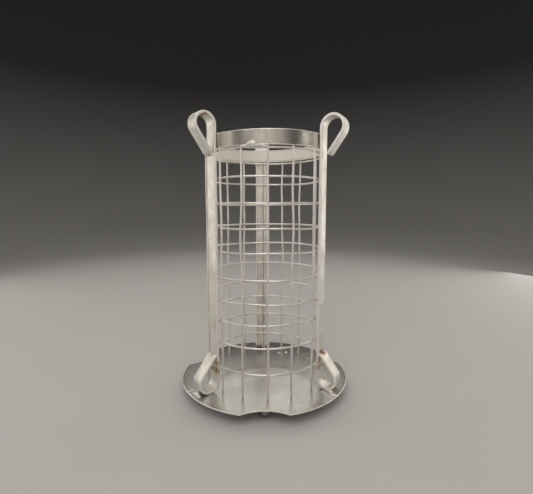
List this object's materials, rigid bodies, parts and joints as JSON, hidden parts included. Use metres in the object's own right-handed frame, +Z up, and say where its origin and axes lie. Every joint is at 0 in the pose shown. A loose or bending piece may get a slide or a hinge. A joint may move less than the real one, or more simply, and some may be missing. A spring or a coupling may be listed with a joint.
{
  "type": "disinfectant jar insert rack",
  "caption": "Lift-out steel rack for a disinfectant jar: a round welded-mesh cage on a scalloped base plate, with flat-bar legs bent into handle and foot loops, on ball feet.",
  "frame": {"origin": "on the floor under the cage's axis, level with the lowest points of the ball feet", "axes": "+Z up the cage, -Y to the front scallop and the front ball foot, +X to the right seen from the front"},
  "size_m": [0.0964, 0.0949, 0.1523],
  "materials": {
    "plate_sheet": "brushed",
    "band_bar": "satin",
    "leg_bar": "satin",
    "mesh_wire": "satin",
    "ball_steel": "polished",
    "weld_metal": "as welded"
  },
  "bodies": {
    "root": {"base_plate": "plate_sheet", "top_band": "band_bar", "front_left_leg": "leg_bar", "front_right_leg": "leg_bar", "rear_leg": "leg_bar", "hoop_wire_01": "mesh_wire", "hoop_wire_02": "mesh_wire", "hoop_wire_03": "mesh_wire", "hoop_wire_04": "mesh_wire", "hoop_wire_05": "mesh_wire", "hoop_wire_06": "mesh_wire", "hoop_wire_07": "mesh_wire", "hoop_wire_08": "mesh_wire", "hoop_wire_09": "mesh_wire", "hoop_wire_10": "mesh_wire", "upright_wire_01": "mesh_wire", "upright_wire_02": "mesh_wire", "upright_wire_03": "mesh_wire", "upright_wire_04": "mesh_wire", "upright_wire_05": "mesh_wire", "upright_wire_06": "mesh_wire", "upright_wire_07": "mesh_wire", "upright_wire_08": "mesh_wire", "upright_wire_09": "mesh_wire", "upright_wire_10": "mesh_wire", "upright_wire_11": "mesh_wire", "upright_wire_12": "mesh_wire", "upright_wire_13": "mesh_wire", "upright_wire_14": "mesh_wire", "upright_wire_15": "mesh_wire", "upright_wire_16": "mesh_wire", "upright_wire_17": "mesh_wire", "front_ball_foot": "ball_steel", "left_ball_foot": "ball_steel", "right_ball_foot": "ball_steel", "band_weld": "weld_metal", "handle_welds": "weld_metal", "foot_tip_welds": "weld_metal", "foot_welds": "weld_metal", "mesh_tacks": "weld_metal", "ball_foot_welds": "weld_metal"}
  },
  "joints": []
}
